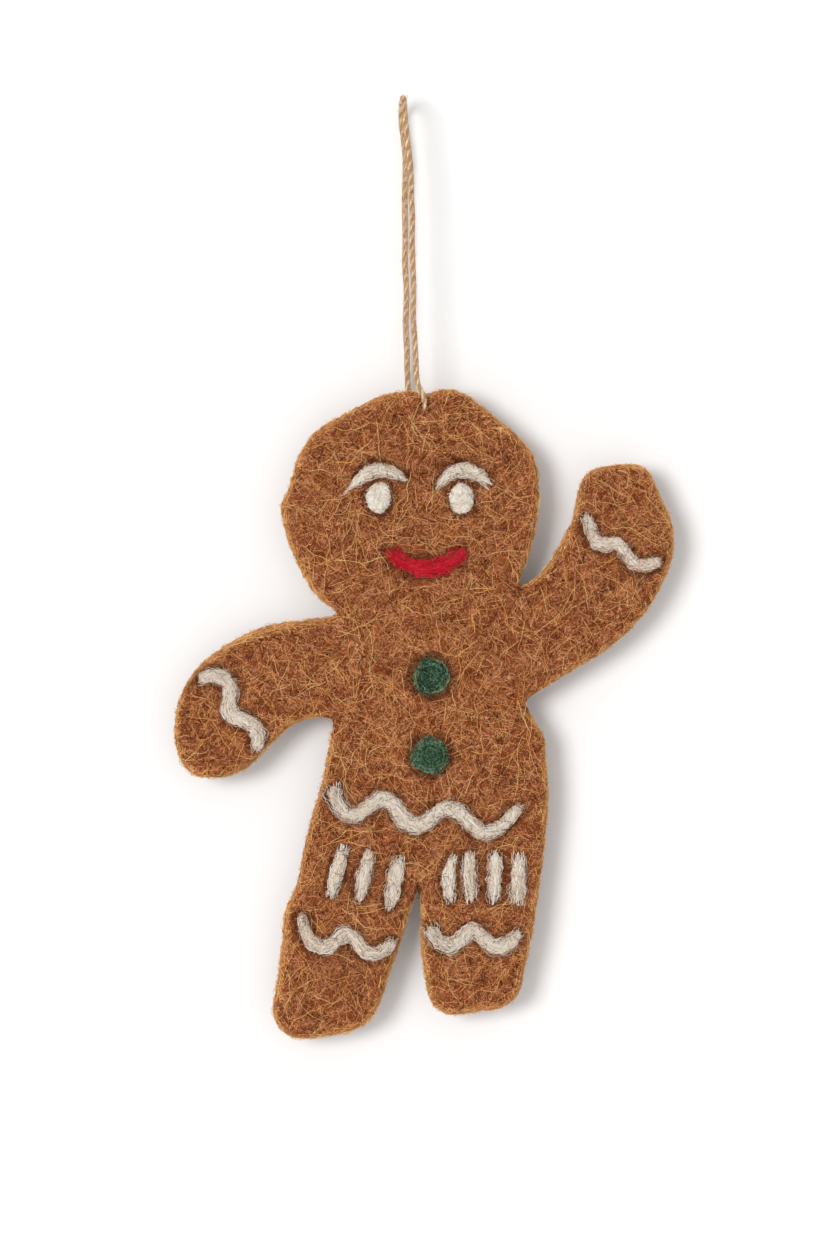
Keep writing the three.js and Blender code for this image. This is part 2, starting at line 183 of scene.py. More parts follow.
def spread_along(values, count):
    """A list of values spread evenly over a length and read in a number of places."""
    amounts = []
    for k in range(count):
        spot = k / (count - 1) * (len(values) - 1)
        before = min(int(spot), len(values) - 2)
        amounts.append(values[before] + (values[before + 1] - values[before]) * (spot - before))
    return amounts


def in_scene(name, data):
    obj = bpy.data.objects.new(name, data)
    bpy.context.scene.collection.objects.link(obj)
    return obj


def drop(*objects):
    for obj in objects:
        bpy.data.objects.remove(obj)


def path_object(name, points, fullness=None):
    """A line of points as an object without faces, with how full the wool is at each point."""
    mesh = bpy.data.meshes.new(name)
    mesh.from_pydata(points, [(i, i + 1) for i in range(len(points) - 1)], [])
    amounts = mesh.attributes.new("fullness", "FLOAT", "POINT")
    amounts.data.foreach_set("value", fullness or [1.0] * len(points))
    return in_scene(name, mesh)


def cad_copy(name, node):
    """A welded copy of a CAD node's mesh."""
    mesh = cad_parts[node].data.copy()
    work = bmesh.new()
    work.from_mesh(mesh)
    bmesh.ops.remove_doubles(work, verts=work.verts, dist=0.001 * MM)
    work.to_mesh(mesh)
    work.free()
    mesh.materials.clear()
    return in_scene(name, mesh)


def joined(name, parts):
    """Several mesh objects as one, with all their materials."""
    mesh = bpy.data.meshes.new(name)
    work = bmesh.new()
    for part in parts:
        start = len(work.faces)
        work.from_mesh(part.data)
        work.faces.ensure_lookup_table()
        for material in part.data.materials:
            if material.name not in mesh.materials:
                mesh.materials.append(material)
        slots = [mesh.materials.find(material.name) for material in part.data.materials] or [0]
        for face in work.faces[start:]:
            face.material_index = slots[face.material_index]
    work.to_mesh(mesh)
    work.free()
    drop(*parts)
    return in_scene(name, mesh)


# Node trees


class Wire:
    """What a node puts out. Sums, products and the like of wires are nodes of their own."""

    def __init__(self, socket):
        self.socket = socket
        self.tree = socket.id_data

    def __add__(self, other):
        return maths("ADD", self, other)

    def __sub__(self, other):
        return maths("SUBTRACT", self, other)

    def __rsub__(self, other):
        return maths("SUBTRACT", other, self)

    def __mul__(self, other):
        return maths("MULTIPLY", self, other)

    def __truediv__(self, other):
        return maths("DIVIDE", self, other)

    def __rtruediv__(self, other):
        return maths("DIVIDE", other, self)


class Outputs:
    """The outputs of a node, as wires."""

    def __init__(self, node):
        self.node = node

    def __getitem__(self, label):
        return Wire(self.node.outputs[label])


def link(wire, socket):
    wire.tree.links.new(wire.socket, socket)


def new_tree(name, kind, inputs, outputs):
    """An empty node group, what its nodes read and the sockets that they fill."""
    tree = bpy.data.node_groups.new(name, kind)
    for label, (socket, value) in inputs.items():
        item = tree.interface.new_socket(label, in_out="INPUT", socket_type="NodeSocket" + socket)
        if value is not None:
            item.default_value = value
    for label, socket in outputs.items():
        tree.interface.new_socket(label, in_out="OUTPUT", socket_type="NodeSocket" + socket)
    return tree, Outputs(tree.nodes.new("NodeGroupInput")), tree.nodes.new("NodeGroupOutput").inputs


def add_node(tree, kind, wires=None, **settings):
    """A new node's outputs. Each wire names an input and what feeds it: a wire or a value."""
    node = tree.nodes.new(kind)
    for setting, value in settings.items():
        setattr(node, setting, value)
    for label, value in (wires or {}).items():
        if isinstance(value, Wire):
            link(value, node.inputs[label])
        else:
            node.inputs[label].default_value = value
    return Outputs(node)


def maths(operation, *values):
    tree = next(value.tree for value in values if isinstance(value, Wire))
    return add_node(tree, "ShaderNodeMath", dict(enumerate(values)), operation=operation)[0]


def vector_maths(operation, *vectors):
    wires = dict(enumerate(vectors))
    return add_node(vectors[0].tree, "ShaderNodeVectorMath", wires, operation=operation)[0]


def scaled(vector, amount):
    wires = {0: vector, "Scale": amount}
    return add_node(vector.tree, "ShaderNodeVectorMath", wires, operation="SCALE")[0]


def y_of(vector):
    return add_node(vector.tree, "ShaderNodeSeparateXYZ", {0: vector})["Y"]


def remapped(value, from_low, from_high, to_low=0.0, to_high=1.0):
    """A value eased from one range into another."""
    wires = {"Value": value, 1: from_low, 2: from_high, 3: to_low, 4: to_high}
    return add_node(value.tree, "ShaderNodeMapRange", wires, interpolation_type="SMOOTHSTEP")[0]


def blended(share, low, high):
    """The mix of two colours by a share from 0 to 1."""
    wires = {"Factor": share, 6: low, 7: high}
    return add_node(share.tree, "ShaderNodeMix", wires, data_type="RGBA")[2]


def noise(vector, scale, detail=2.0, w=None):
    """Smooth noise round 0.5: its value is output 0 and its colour output 1."""
    wires = {"Vector": vector, "Scale": scale, "Detail": detail}
    if w is not None:
        wires["W"] = w
    kind = "3D" if w is None else "4D"
    return add_node(vector.tree, "ShaderNodeTexNoise", wires, noise_dimensions=kind)


def wander(position, scale, amount, w=None):
    """A smooth random push. With a w of its own, each strand is pushed another way."""
    push = vector_maths("SUBTRACT", noise(position, scale, 1.0, w)[1], (0.5, 0.5, 0.5))
    return scaled(push, amount)


def field(tree, name):
    """The position, normal or tangent of the geometry that a node works on."""
    return add_node(tree, "GeometryNodeInput" + name)[0]


def along_curve(tree, measure="Factor"):
    return add_node(tree, "GeometryNodeSplineParameter")[measure]


def named_value(tree, name):
    return add_node(tree, "GeometryNodeInputNamedAttribute", {"Name": name})[0]


def keep_value(geometry, name, value, domain="POINT"):
    wires = {"Geometry": geometry, "Name": name, "Value": value}
    return add_node(geometry.tree, "GeometryNodeStoreNamedAttribute", wires, domain=domain)[0]


def random_value(low, high, seed):
    wires = {2: low, 3: high, "Seed": seed}
    return add_node(seed.tree, "FunctionNodeRandomValue", wires, data_type="FLOAT")[1]


def geometry_of(obj):
    return add_node(obj.tree, "GeometryNodeObjectInfo", {"Object": obj})["Geometry"]


def nearest_on(target, position, kind="FACES"):
    """The nearest place on the faces or points of a geometry, and how far it is."""
    wires = {"Target": target, "Source Position": position}
    return add_node(target.tree, "GeometryNodeProximity", wires, target_element=kind)


def moved(geometry, offset):
    return add_node(geometry.tree, "GeometryNodeSetPosition", {0: geometry, "Offset": offset})[0]


def with_radius(curves, radius):
    return add_node(curves.tree, "GeometryNodeSetCurveRadius", {"Curve": curves, "Radius": radius})[0]


def in_material(geometry, material):
    wires = {"Geometry": geometry, "Material": material}
    return add_node(geometry.tree, "GeometryNodeSetMaterial", wires)[0]


def tubes(curves, radius, sides, material):
    """Closed tubes along curves. They are thinner where the curves' radius is."""
    tree = curves.tree
    ring = add_node(tree, "GeometryNodeCurvePrimitiveCircle", {"Resolution": sides, "Radius": radius})[0]
    ring = keep_value(ring, "around", along_curve(tree))
    wires = {"Curve": curves, "Profile Curve": ring, "Fill Caps": True}
    return in_material(add_node(tree, "GeometryNodeCurveToMesh", wires)[0], material)


def twine_tree():
    """Plies of twine laid round each other along a route."""
    inputs = {
        "Route": ("Geometry", None),
        "Plies": ("Int", 2),
        "Ply radius": ("Float", 0.3 * MM),
        "Lay radius": ("Float", 0.3 * MM),
        "Pitch": ("Float", 3.6 * MM),
        "Unevenness": ("Float", 0.12),
        "Unevenness size": ("Float", 1.4 * MM),
        "Sides": ("Int", 10),
        "Material": ("Material", None),
    }
    tree, given, result = new_tree("laid twine", "GeometryNodeTree", inputs, {"Twine": "Geometry"})
    route = add_node(tree, "GeometryNodeMeshToCurve", {0: given["Route"]})[0]
    route = add_node(tree, "GeometryNodeSetCurveNormal", {"Curve": route})[0]
    along = along_curve(tree, "Length")
    route = keep_value(route, "along", along)
    wires = {"Geometry": route, "Amount": given["Plies"]}
    plies = add_node(tree, "GeometryNodeDuplicateElements", wires, domain="SPLINE")
    angle = (along / given["Pitch"] + plies["Duplicate Index"] / given["Plies"]) * (2 * math.pi)
    normal = field(tree, "Normal")
    side = vector_maths("CROSS_PRODUCT", field(tree, "Tangent"), normal)
    cosine = scaled(normal, maths("COSINE", angle))
    outwards = vector_maths("ADD", cosine, scaled(side, maths("SINE", angle)))
    full = named_value(tree, "fullness")
    laid = moved(plies["Geometry"], scaled(outwards, given["Lay radius"] * full))
    swell = noise(field(tree, "Position"), 1 / given["Unevenness size"])[0] - 0.5
    laid = with_radius(laid, swell * given["Unevenness"] * 2 + full)
    link(tubes(laid, given["Ply radius"], given["Sides"], given["Material"]), result[0])
    return tree


def hair_tree():
    """Fine curly hairs that grow on a surface and lie close to it."""
    inputs = {
        "Surface": ("Geometry", None),
        "Hairs per area": ("Float", 1e6),
        "Shortest": ("Float", 2 * MM),
        "Longest": ("Float", 4 * MM),
        "Thickness": ("Float", 0.09 * MM),
        "Joints": ("Int", 5),
        "Lift": ("Float", 0.4 * MM),
        "Free ends": ("Float", 0.0),
        "Curl": ("Float", 0.35),
        "Curl size": ("Float", 3 * MM),
        "Only edges": ("Float", 0.0),
        "Near": ("Object", None),
        "Near reach": ("Float", 0.0),
        "Bare where needled": ("Float", 0.8),
        "Furthest pull": ("Float", 1.2 * MM),
        "Seed": ("Int", 1),
        "Material": ("Material", None),
    }
    tree, given, result = new_tree("felt hairs", "GeometryNodeTree", inputs, {"Hairs": "Geometry"})
    seeds = [given["Seed"] * 17 + k for k in range(4)]
    position = field(tree, "Position")
    surface = given["Surface"]

    # Where they grow: anywhere, only along cut edges, or only near an object
    gap = nearest_on(geometry_of(given["Near"]), position)["Distance"]
    wires = {
        "Switch": maths("GREATER_THAN", given["Near reach"], 0.0),
        "False": 1 - named_value(tree, "needled") * given["Bare where needled"],
        "True": remapped(gap, 0.0, given["Near reach"], 1.0, 0.0),
    }
    room = add_node(tree, "GeometryNodeSwitch", wires, input_type="FLOAT")[0]
    wanted = named_value(tree, "cut_edge") * given["Only edges"]
    anywhere = 1 - given["Only edges"]
    share = (wanted + anywhere) * room * (1 - named_value(tree, "inner_side"))
    wires = {"Mesh": surface, "Density": given["Hairs per area"] * share, "Seed": given["Seed"]}
    roots = add_node(tree, "GeometryNodeDistributePointsOnFaces", wires, distribute_method="RANDOM")

    # Straight hairs, each turned its own way on the surface
    line = add_node(tree, "GeometryNodeCurvePrimitiveLine", {"Start": (-0.5, 0, 0), "End": (0.5, 0, 0)})[0]
    line = add_node(tree, "GeometryNodeResampleCurve", {"Curve": line, "Count": given["Joints"]})[0]
    spin = add_node(tree, "ShaderNodeCombineXYZ", {"Z": random_value(0.0, 2 * math.pi, seeds[1])})[0]
    wires = {"Rotation": roots["Rotation"], "Rotate By": spin}
    spun = add_node(tree, "FunctionNodeRotateRotation", wires, rotation_space="LOCAL")[0]
    wires = {
        "Points": roots["Points"], "Instance": line, "Rotation": spun,
        "Scale": random_value(given["Shortest"], given["Longest"], seeds[0]),
    }
    hairs = add_node(tree, "GeometryNodeInstanceOnPoints", wires)[0]
    hairs = add_node(tree, "GeometryNodeRealizeInstances", {"Geometry": hairs})[0]

    # Curls, and the height of each point over the surface
    hairs = keep_value(hairs, "own", random_value(0.0, 1.0, seeds[2]), "CURVE")
    own = named_value(tree, "own")
    length = add_node(tree, "GeometryNodeSplineLength")["Length"]
    push = given["Curl"] * 2 * length
    hairs = moved(hairs, wander(position, 1 / given["Curl size"], push, own * 900))
    keenness = maths("POWER", random_value(0.0, 1.0, seeds[3]), 2.0)
    hairs = keep_value(hairs, "keenness", keenness, "CURVE")
    nearest = nearest_on(surface, position)[0]
    wires = {"Mesh": surface, "Value": field(tree, "Normal"), "Sample Position": position}
    outward = add_node(tree, "GeometryNodeSampleNearestSurface", wires, data_type="FLOAT_VECTOR")[0]
    factor = along_curve(tree)
    arch = maths("SINE", factor * math.pi)
    raised = factor * given["Free ends"] + arch * (1 - given["Free ends"])
    height = raised * given["Lift"] * named_value(tree, "keenness")
    lying = vector_maths("ADD", nearest, scaled(outward, height))

    # A hair goes if any of its points would be pulled far, which is where it would bridge a gap
    wires = {0: position, 1: nearest}
    pull = add_node(tree, "ShaderNodeVectorMath", wires, operation="DISTANCE")["Value"]
    wires = {
        "Value": maths("GREATER_THAN", pull, given["Furthest pull"]),
        "Group ID": add_node(tree, "GeometryNodeCurveOfPoint")["Curve Index"],
    }
    far_points = add_node(tree, "GeometryNodeAccumulateField", wires, data_type="FLOAT")["Total"]
    wires = {"Geometry": hairs, "Selection": maths("GREATER_THAN", far_points, 0.5)}
    hairs = add_node(tree, "GeometryNodeDeleteGeometry", wires)[0]
    hairs = add_node(tree, "GeometryNodeSetPosition", {0: hairs, "Position": lying})[0]

    # Thinner towards both ends
    hairs = keep_value(with_radius(hairs, arch * 0.6 + 0.4), "shade", own)
    link(tubes(hairs, given["Thickness"] * 0.5, 3, given["Material"]), result[0])
    return tree


def strand_tree():
    """Loose strands of wool laid side by side along a path, over the wool that is felted in."""
    inputs = {
        "Path": ("Geometry", None),
        "Strands": ("Int", 30),
        "Width": ("Float", 3 * MM),
        "Height": ("Float", 1 * MM),
        "Thickness": ("Float", 0.25 * MM),
        "Wander": ("Float", 0.6 * MM),
        "Wander size": ("Float", 3 * MM),
        "Lumpiness": ("Float", 1.1),
        "Lump size": ("Float", 1.5 * MM),
        "Shortest": ("Float", 0.5),
        "Seed": ("Int", 1),
        "Material": ("Material", None),
    }
    tree, given, result = new_tree("wool strands", "GeometryNodeTree", inputs, {"Wool": "Geometry"})
    seeds = [given["Seed"] * 13 + k for k in range(6)]
    path = add_node(tree, "GeometryNodeMeshToCurve", {0: given["Path"]})[0]
    wires = {"Geometry": path, "Amount": given["Strands"]}
    strands = add_node(tree, "GeometryNodeDuplicateElements", wires, domain="SPLINE")[0]

    # Each strand's place over the path. It is the sum of two draws, so the middle is the fullest
    spread = random_value(-0.62, 0.62, seeds[0]) + random_value(-0.5, 0.5, seeds[5])
    strands = keep_value(strands, "across", spread, "CURVE")
    strands = keep_value(strands, "above", random_value(0.4, 1.0, seeds[1]), "CURVE")
    strands = keep_value(strands, "own", random_value(0.0, 1.0, seeds[2]), "CURVE")
    across = named_value(tree, "across")
    own = named_value(tree, "own")
    position = field(tree, "Position")
    lump = (noise(position, 1 / given["Lump size"], 2.0)[0] - 0.5) * given["Lumpiness"] + 1
    full = named_value(tree, "fullness") * lump
    side = vector_maths("CROSS_PRODUCT", field(tree, "Tangent"), (0.0, 1.0, 0.0))
    sideways = scaled(side, across * (given["Width"] * 0.5 * full))
    crown = maths("SQRT", maths("MAXIMUM", 1 - across * across, 0.0))
    height = given["Height"] * full * crown * named_value(tree, "above")
    upwards = add_node(tree, "ShaderNodeCombineXYZ", {"Y": height * -1})[0]
    strands = moved(strands, vector_maths("ADD", sideways, upwards))

    # Each strand strays its own way, and covers a stretch of the path of its own
    push = wander(position, 1 / given["Wander size"], given["Wander"], own * 700)
    strands = moved(strands, vector_maths("MULTIPLY", push, (1.0, 0.35, 1.0)))
    reach = random_value(given["Shortest"], 1.0, seeds[3])
    start = (1 - reach) * random_value(0.0, 1.0, seeds[4])
    wires = {"Curve": strands, "Start": start, "End": start + reach}
    strands = add_node(tree, "GeometryNodeTrimCurve", wires, mode="FACTOR")[0]
    arch = maths("SINE", along_curve(tree) * math.pi)
    strands = with_radius(strands, maths("SQRT", arch) * 0.75 + 0.25)
    strands = keep_value(strands, "shade", own)
    link(tubes(strands, given["Thickness"] * 0.5, 3, given["Material"]), result[0])
    return tree


def felt_tree():
    """A cut layer of felt: matted, worn round at its cut edges and drawn in where wool is needled on."""
    inputs = {
        "Layer": ("Geometry", None),
        "Cut layer": ("Object", None),
        "Needled wool": ("Object", None),
        "Inner corners": ("Object", None),
        "Face side": ("Float", -1.0),
        "Matting": ("Float", 0.18 * MM),
        "Matting size": ("Float", 0.9 * MM),
        "Waviness": ("Float", 0.18 * MM),
        "Wave size": ("Float", 8 * MM),
        "Raggedness": ("Float", 1.6 * MM),
        "Raggedness size": ("Float", 2.2 * MM),
        "Edge wear": ("Float", 0.35 * MM),
        "Edge width": ("Float", 2.2 * MM),
        "Needle dent": ("Float", 0.25 * MM),
        "Halo start": ("Float", 0.3 * MM),
        "Halo width": ("Float", 1.7 * MM),
        "Hairy inner rim": ("Float", 0.0),
        "Material": ("Material", None),
    }
    tree, given, result = new_tree("felt layer", "GeometryNodeTree", inputs, {"Felt": "Geometry"})
    position = field(tree, "Position")
    normal = field(tree, "Normal")
    facing = y_of(normal)

    # The scissor cut is what is left of the layer without its flat faces
    flat = maths("GREATER_THAN", maths("ABSOLUTE", facing), 0.3)
    wires = {"Geometry": geometry_of(given["Cut layer"]), "Selection": flat}
    rim = add_node(tree, "GeometryNodeDeleteGeometry", wires, domain="FACE")[0]

    # Where the felt is cut, needled and covered, as values for the hairs and the colour to use
    from_rim = nearest_on(rim, position)["Distance"]
    from_wool = nearest_on(geometry_of(given["Needled wool"]), position)["Distance"]
    from_corner = nearest_on(geometry_of(given["Inner corners"]), position, "POINTS")["Distance"]
    ragged = (noise(position, 1 / given["Raggedness size"], 2.0)[0] - 0.5) * given["Raggedness"]
    edge = remapped(from_rim + ragged * 0.5, 0.0, given["Edge width"], 1.0, 0.0)
    edge = edge * remapped(from_corner, 1.5 * MM, 5 * MM)
    felt = keep_value(given["Layer"], "cut_edge", edge)
    outer = facing * given["Face side"]
    # The needled value also darkens the felt's colour round the wool: partly darker pulled-in fibres,
    # partly painted shade in the needled hollows
    needled = remapped(from_wool + ragged, given["Halo start"], given["Halo width"], 1.0, 0.0)
    felt = keep_value(felt, "needled", needled * maths("GREATER_THAN", outer, 0.5))
    covered = maths("GREATER_THAN", from_rim, given["Hairy inner rim"])
    felt = keep_value(felt, "inner_side", maths("LESS_THAN", outer, -0.5) * covered)

    # The shape of the surface: waves and matting, less the worn edge and the needled hollows
    wave = (noise(position, 1 / given["Wave size"], 1.0)[0] - 0.5) * given["Waviness"]
    mat = (noise(position, 1 / given["Matting size"], 3.0)[0] - 0.5) * given["Matting"]
    worn = maths("POWER", named_value(tree, "cut_edge"), 2.0) * given["Edge wear"]
    worn = worn * maths("GREATER_THAN", outer, 0.2)
    dent = named_value(tree, "needled") * given["Needle dent"]
    felt = moved(felt, scaled(normal, wave + mat - (worn + dent)))
    felt = in_material(felt, given["Material"])
    link(add_node(tree, "GeometryNodeSetShadeSmooth", {"Geometry": felt})[0], result[0])
    return tree


def packed_tree():
    """Wool needled into the felt: a low swelling with a ragged outline."""
    inputs = {
        "Solid": ("Geometry", None),
        "Height": ("Float", 0.5),
        "Raggedness": ("Float", 0.4 * MM),
        "Raggedness size": ("Float", 1.3 * MM),
        "Drawn in": ("Float", 0.68),
        "Material": ("Material", None),
    }
    tree, given, result = new_tree("packed wool", "GeometryNodeTree", inputs, {"Wool": "Geometry"})
    wool = add_node(tree, "GeometryNodeSubdivideMesh", {"Mesh": given["Solid"], "Level": 2})[0]
    position = field(tree, "Position")
    rough = noise(position, 1 / given["Raggedness size"], 2.0)[0] - given["Drawn in"]
    wool = moved(wool, scaled(field(tree, "Normal"), rough * (given["Raggedness"] * 2)))
    lower = (y_of(position) - FRONT_FACE * MM) * (given["Height"] - 1)
    wool = moved(wool, add_node(tree, "ShaderNodeCombineXYZ", {"Y": lower})[0])
    wool = in_material(wool, given["Material"])
    link(add_node(tree, "GeometryNodeSetShadeSmooth", {"Geometry": wool})[0], result[0])
    return tree


def grown(name, source, tree, settings):
    """Runs a tree on a source and returns what it makes as a plain mesh object."""
    modifier = source.modifiers.new(tree.name, "NODES")
    modifier.node_group = tree
    labels = {item.name: item.identifier for item in tree.interface.items_tree if item.in_out == "INPUT"}
    for label, value in settings.items():
        modifier[labels[label]] = value
    source.update_tag()
    graph = bpy.context.evaluated_depsgraph_get()
    mesh = bpy.data.meshes.new_from_object(source.evaluated_get(graph))
    source.modifiers.remove(modifier)
    mesh.name = name
    return in_scene(name, mesh)


# Materials


def srgb(red, green, blue):
    """A colour given in 0 to 255 as Blender's linear colour."""
    def linear(value):
        share = value / 255
        return share / 12.92 if share <= 0.04045 else ((share + 0.055) / 1.055) ** 2.4
    return (linear(red), linear(green), linear(blue), 1.0)


def fibre_group():
    """Fine matted fibres that cross each other, and the tufts and patches that they gather in."""
    inputs = {"Vector": ("Vector", None), "Fibre width": ("Float", 0.14 * MM)}
    outputs = {"Fibres": "Float", "Tufts": "Float", "Patches": "Float"}
    tree, given, result = new_tree("matted fibres", "ShaderNodeTree", inputs, outputs)
    surface = given["Vector"]
    fineness = 1 / given["Fibre width"]
    bent = vector_maths("ADD", surface, wander(surface, fineness * 0.07, given["Fibre width"] * 14))
    stretch = (1.0, 1.0, 11.0)
    lines = []
    for turn in (0.2, 0.95, 1.75, 2.5):
        wires = {"Vector": bent, "Rotation": (0.25, turn, 0.1), "Scale": stretch}
        lying = add_node(tree, "ShaderNodeMapping", wires, vector_type="TEXTURE")[0]
        lines.append(remapped(noise(lying, fineness, 1.0)[0], 0.5, 0.72))
    fibres = lines[0]
    for line in lines[1:]:
        fibres = maths("MAXIMUM", fibres, line)
    link(fibres, result["Fibres"])
    link(remapped(noise(bent, fineness * 0.26, 3.0)[0], 0.33, 0.67), result["Tufts"])
    link(remapped(noise(surface, fineness * 0.018)[0], 0.3, 0.7), result["Patches"])
    return tree


def dry_material(name, sheen=0.0, roughness=1.0):
    """A new material without gloss, its node tree and its shader."""
    material = bpy.data.materials.new(name)
    material.use_nodes = True
    shader = material.node_tree.nodes["Principled BSDF"]
    shader.inputs["Roughness"].default_value = roughness
    shader.inputs["Specular IOR Level"].default_value = 0.0
    shader.inputs["Sheen Weight"].default_value = sheen
    shader.inputs["Sheen Roughness"].default_value = 0.5
    return material, material.node_tree, shader


def finish_material(shader, colour, height, distance, strength=1.0):
    """Gives a shader its colour, and its relief from a height."""
    link(colour, shader.inputs["Base Color"])
    wires = {"Height": height, "Distance": distance, "Strength": strength}
    link(add_node(height.tree, "ShaderNodeBump", wires)[0], shader.inputs["Normal"])


def object_place(tree):
    return add_node(tree, "ShaderNodeTexCoord")["Object"]


def surface_value(tree, name):
    return add_node(tree, "ShaderNodeAttribute", attribute_name=name)["Fac"]


def matted(tree, fibre_width, fibres):
    """The pattern of matted fibres over a surface."""
    wires = {"Vector": object_place(tree), "Fibre width": fibre_width}
    return add_node(tree, "ShaderNodeGroup", wires, node_tree=fibres)


def felt_material(name, tones, fibre_width, fibres):
    """Brown felt: matted, darker where wool is needled in (partly darker pulled-in fibres, partly painted
    shade in the needled hollows) and golden at the cut edges.
    """
    material, tree, shader = dry_material(name)
    mat = matted(tree, fibre_width, fibres)
    deep, middle, warm, light = (srgb(*tone) for tone in tones)
    colour = blended(mat["Tufts"], deep, middle)
    colour = blended(mat["Patches"] * 0.3, colour, warm)
    colour = blended(mat["Fibres"] * 0.8, colour, light)
    finish_material(shader, felted_and_shaded_colour(colour), mat["Fibres"] + mat["Tufts"] * 0.8, 0.12 * MM)
    return material


def felted_and_shaded_colour(colour):
    """The felt's colour: darker where wool is needled in, partly darker fibres pulled in by the needle and
    partly painted shade in the needled hollows, and golden along the cut edge.
    """
    needled = surface_value(colour.tree, "needled")
    # Painted shade: the felt round the needled wool is darkened as its hollows would be shaded, and also
    # for darker pulled-in fibres
    colour = blended(needled * 0.6, colour, srgb(78, 40, 20))
    edge = remapped(surface_value(colour.tree, "cut_edge"), 0.35, 0.95, 0.0, 0.3)
    return blended(edge, colour, srgb(236, 186, 124))


def rooted_and_shaded_colour(colour):
    """The colour of wool on the figure's front: its lowest fibres are browner, partly brown felt fibres
    mixed in and partly painted brown shade low among the fibres.
    """
    proud = FRONT_FACE * MM - y_of(object_place(colour.tree))
    browned_and_shaded = remapped(proud, 0.05 * MM, 0.45 * MM, 0.6, 0.0)
    # Painted shade: wool low by the felt is turned brown, for the brown fibres mixed in and for the warm
    # shade down there
    return blended(browned_and_shaded, colour, srgb(188, 118, 70))


def strand_material(name, colours, grounded=None):
    """Fibres of one wool, each strand with its own shade between three."""
    material, tree, shader = dry_material(name, sheen=0.02)
    dark, middle, light = (srgb(*colour) for colour in colours)
    coords = object_place(tree)
    drift = noise(coords, 1 / (2.5 * MM))[0]
    shade = surface_value(tree, "shade") * 0.75 + drift * 0.25
    colour = blended(remapped(shade, 0.1, 0.45), dark, middle)
    colour = blended(remapped(shade, 0.5, 0.9), colour, light)
    if grounded:
        colour = grounded(colour)
    grain = noise(coords, 1 / (0.1 * MM))[0]
    finish_material(shader, colour, grain, distance=0.02 * MM, strength=0.5)
    return material


def packed_wool_material(name, colours, fibres):
    """Dyed wool felted into the ground under its loose strands."""
    material, tree, shader = dry_material(name, sheen=0.02)
    dark, middle, light = (srgb(*colour) for colour in colours)
    mat = matted(tree, 0.12 * MM, fibres)
    colour = blended(mat["Fibres"], blended(mat["Tufts"], dark, middle), light)
    finish_material(shader, rooted_and_shaded_colour(colour), mat["Fibres"], 0.12 * MM)
    return material


def twine_material():
    """Jute: long dry fibres that run round each ply, with pale streaks that are partly pale fibres and
    partly painted highlights.
    """
    material, tree, shader = dry_material("jute twine", roughness=0.75)
    along = surface_value(tree, "along") / MM
    slanted = surface_value(tree, "around") * 9 + along * 1.6
    lying = add_node(tree, "ShaderNodeCombineXYZ", {"X": slanted, "Y": along * 0.5})[0]
    grain = noise(lying, 1.6, 3.0)[0]
    drift = noise(object_place(tree), 1 / (3 * MM))[0]
    colour = blended(remapped(grain, 0.3, 0.55), srgb(118, 80, 48), srgb(240, 206, 166))
    # Painted highlights: the palest streaks stand for fibres that catch the light, and for pale fibres
    colour = blended(remapped(grain, 0.52, 0.72), colour, srgb(255, 246, 226))
    colour = blended(drift * 0.2, colour, srgb(204, 164, 118))
    finish_material(shader, colour, grain, 0.08 * MM)
    return material


# Making the pieces


def ride_figure(piece, material_slot, *nodes):
    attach(piece, "figure")
    if nodes:
        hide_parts(*nodes)


def make_twine(material, fuzz_material, hairs):
    """The hanging loop: one two-ply twine from the stitch up and back down to its knot."""
    tree = twine_tree()
    route = [point * MM for point in smooth_route(TWINE_ROUTE, 0.25)]
    line = path_object("twine_line", route, spread_along(TWINE_FULLNESS, len(route)))
    lay = {"Ply radius": 0.33 * MM, "Lay radius": 0.33 * MM, "Pitch": 5.6 * MM, "Material": material}
    loose = {
        "Plies": 11, "Ply radius": 0.045 * MM, "Lay radius": 0.6 * MM, "Pitch": 7.5 * MM,
        "Unevenness": 0.3, "Sides": 4, "Material": fuzz_material,
    }
    fuzz_sizes = {
        "Hairs per area": 1.6e6, "Shortest": 0.8 * MM, "Longest": 2.6 * MM, "Thickness": 0.05 * MM,
        "Joints": 5, "Lift": 0.9 * MM, "Free ends": 1.0, "Curl": 0.25, "Curl size": 1.5 * MM,
        "Seed": 3, "Material": fuzz_material,
    }
    twine = grown("jute_loop", line, tree, lay)
    fibres = grown("jute_loop_fibres", line, tree, loose)
    fuzz = grown("jute_loop_fuzz", twine, hairs, fuzz_sizes)
    drop(line)
    knot = make_knot(tree, lay, fuzz_sizes, hairs)
    for piece in (twine, fuzz, fibres):
        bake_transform(piece)
    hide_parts("hanging_loop", "front_twine_bend", "back_twine_bend", "twine_stitch")
    route_length(route)


def knot_routes():
    """The twine's routes in the knot in millimetres from its centre: its loops, its core and its ends."""
    spread = 0.6
    rise = 0.95
    first_turn = 0.35
    steps = 24
    loops = [(-1.6, 0.1, 1.5)]
    for k in range(steps + 1):
        turn = first_turn + k / steps * (2 * math.pi - 2 * first_turn)
        x = (math.sin(turn) + 2 * math.sin(2 * turn)) * spread
        z = (math.cos(turn) - 2 * math.cos(2 * turn)) * spread
        loops.append((x, -math.sin(3 * turn) * rise, z))
    core = [(0, -2.1, 0), (0.1, -0.9, 0.15), (-0.25, 0, 0.25), (0.2, 0.8, -0.35)]
    long_end = [(0, 0, 0), (-0.6, 0.1, -1.6), (-1.1, 0.3, -3.2), (-1.4, 0, -5)]
    short_end = [(0, 0, 0), (0.8, 0.2, -1.5), (1.5, 0.4, -2.8), (2.2, 0.2, -3.9)]
    return [loops, core, long_end, short_end]


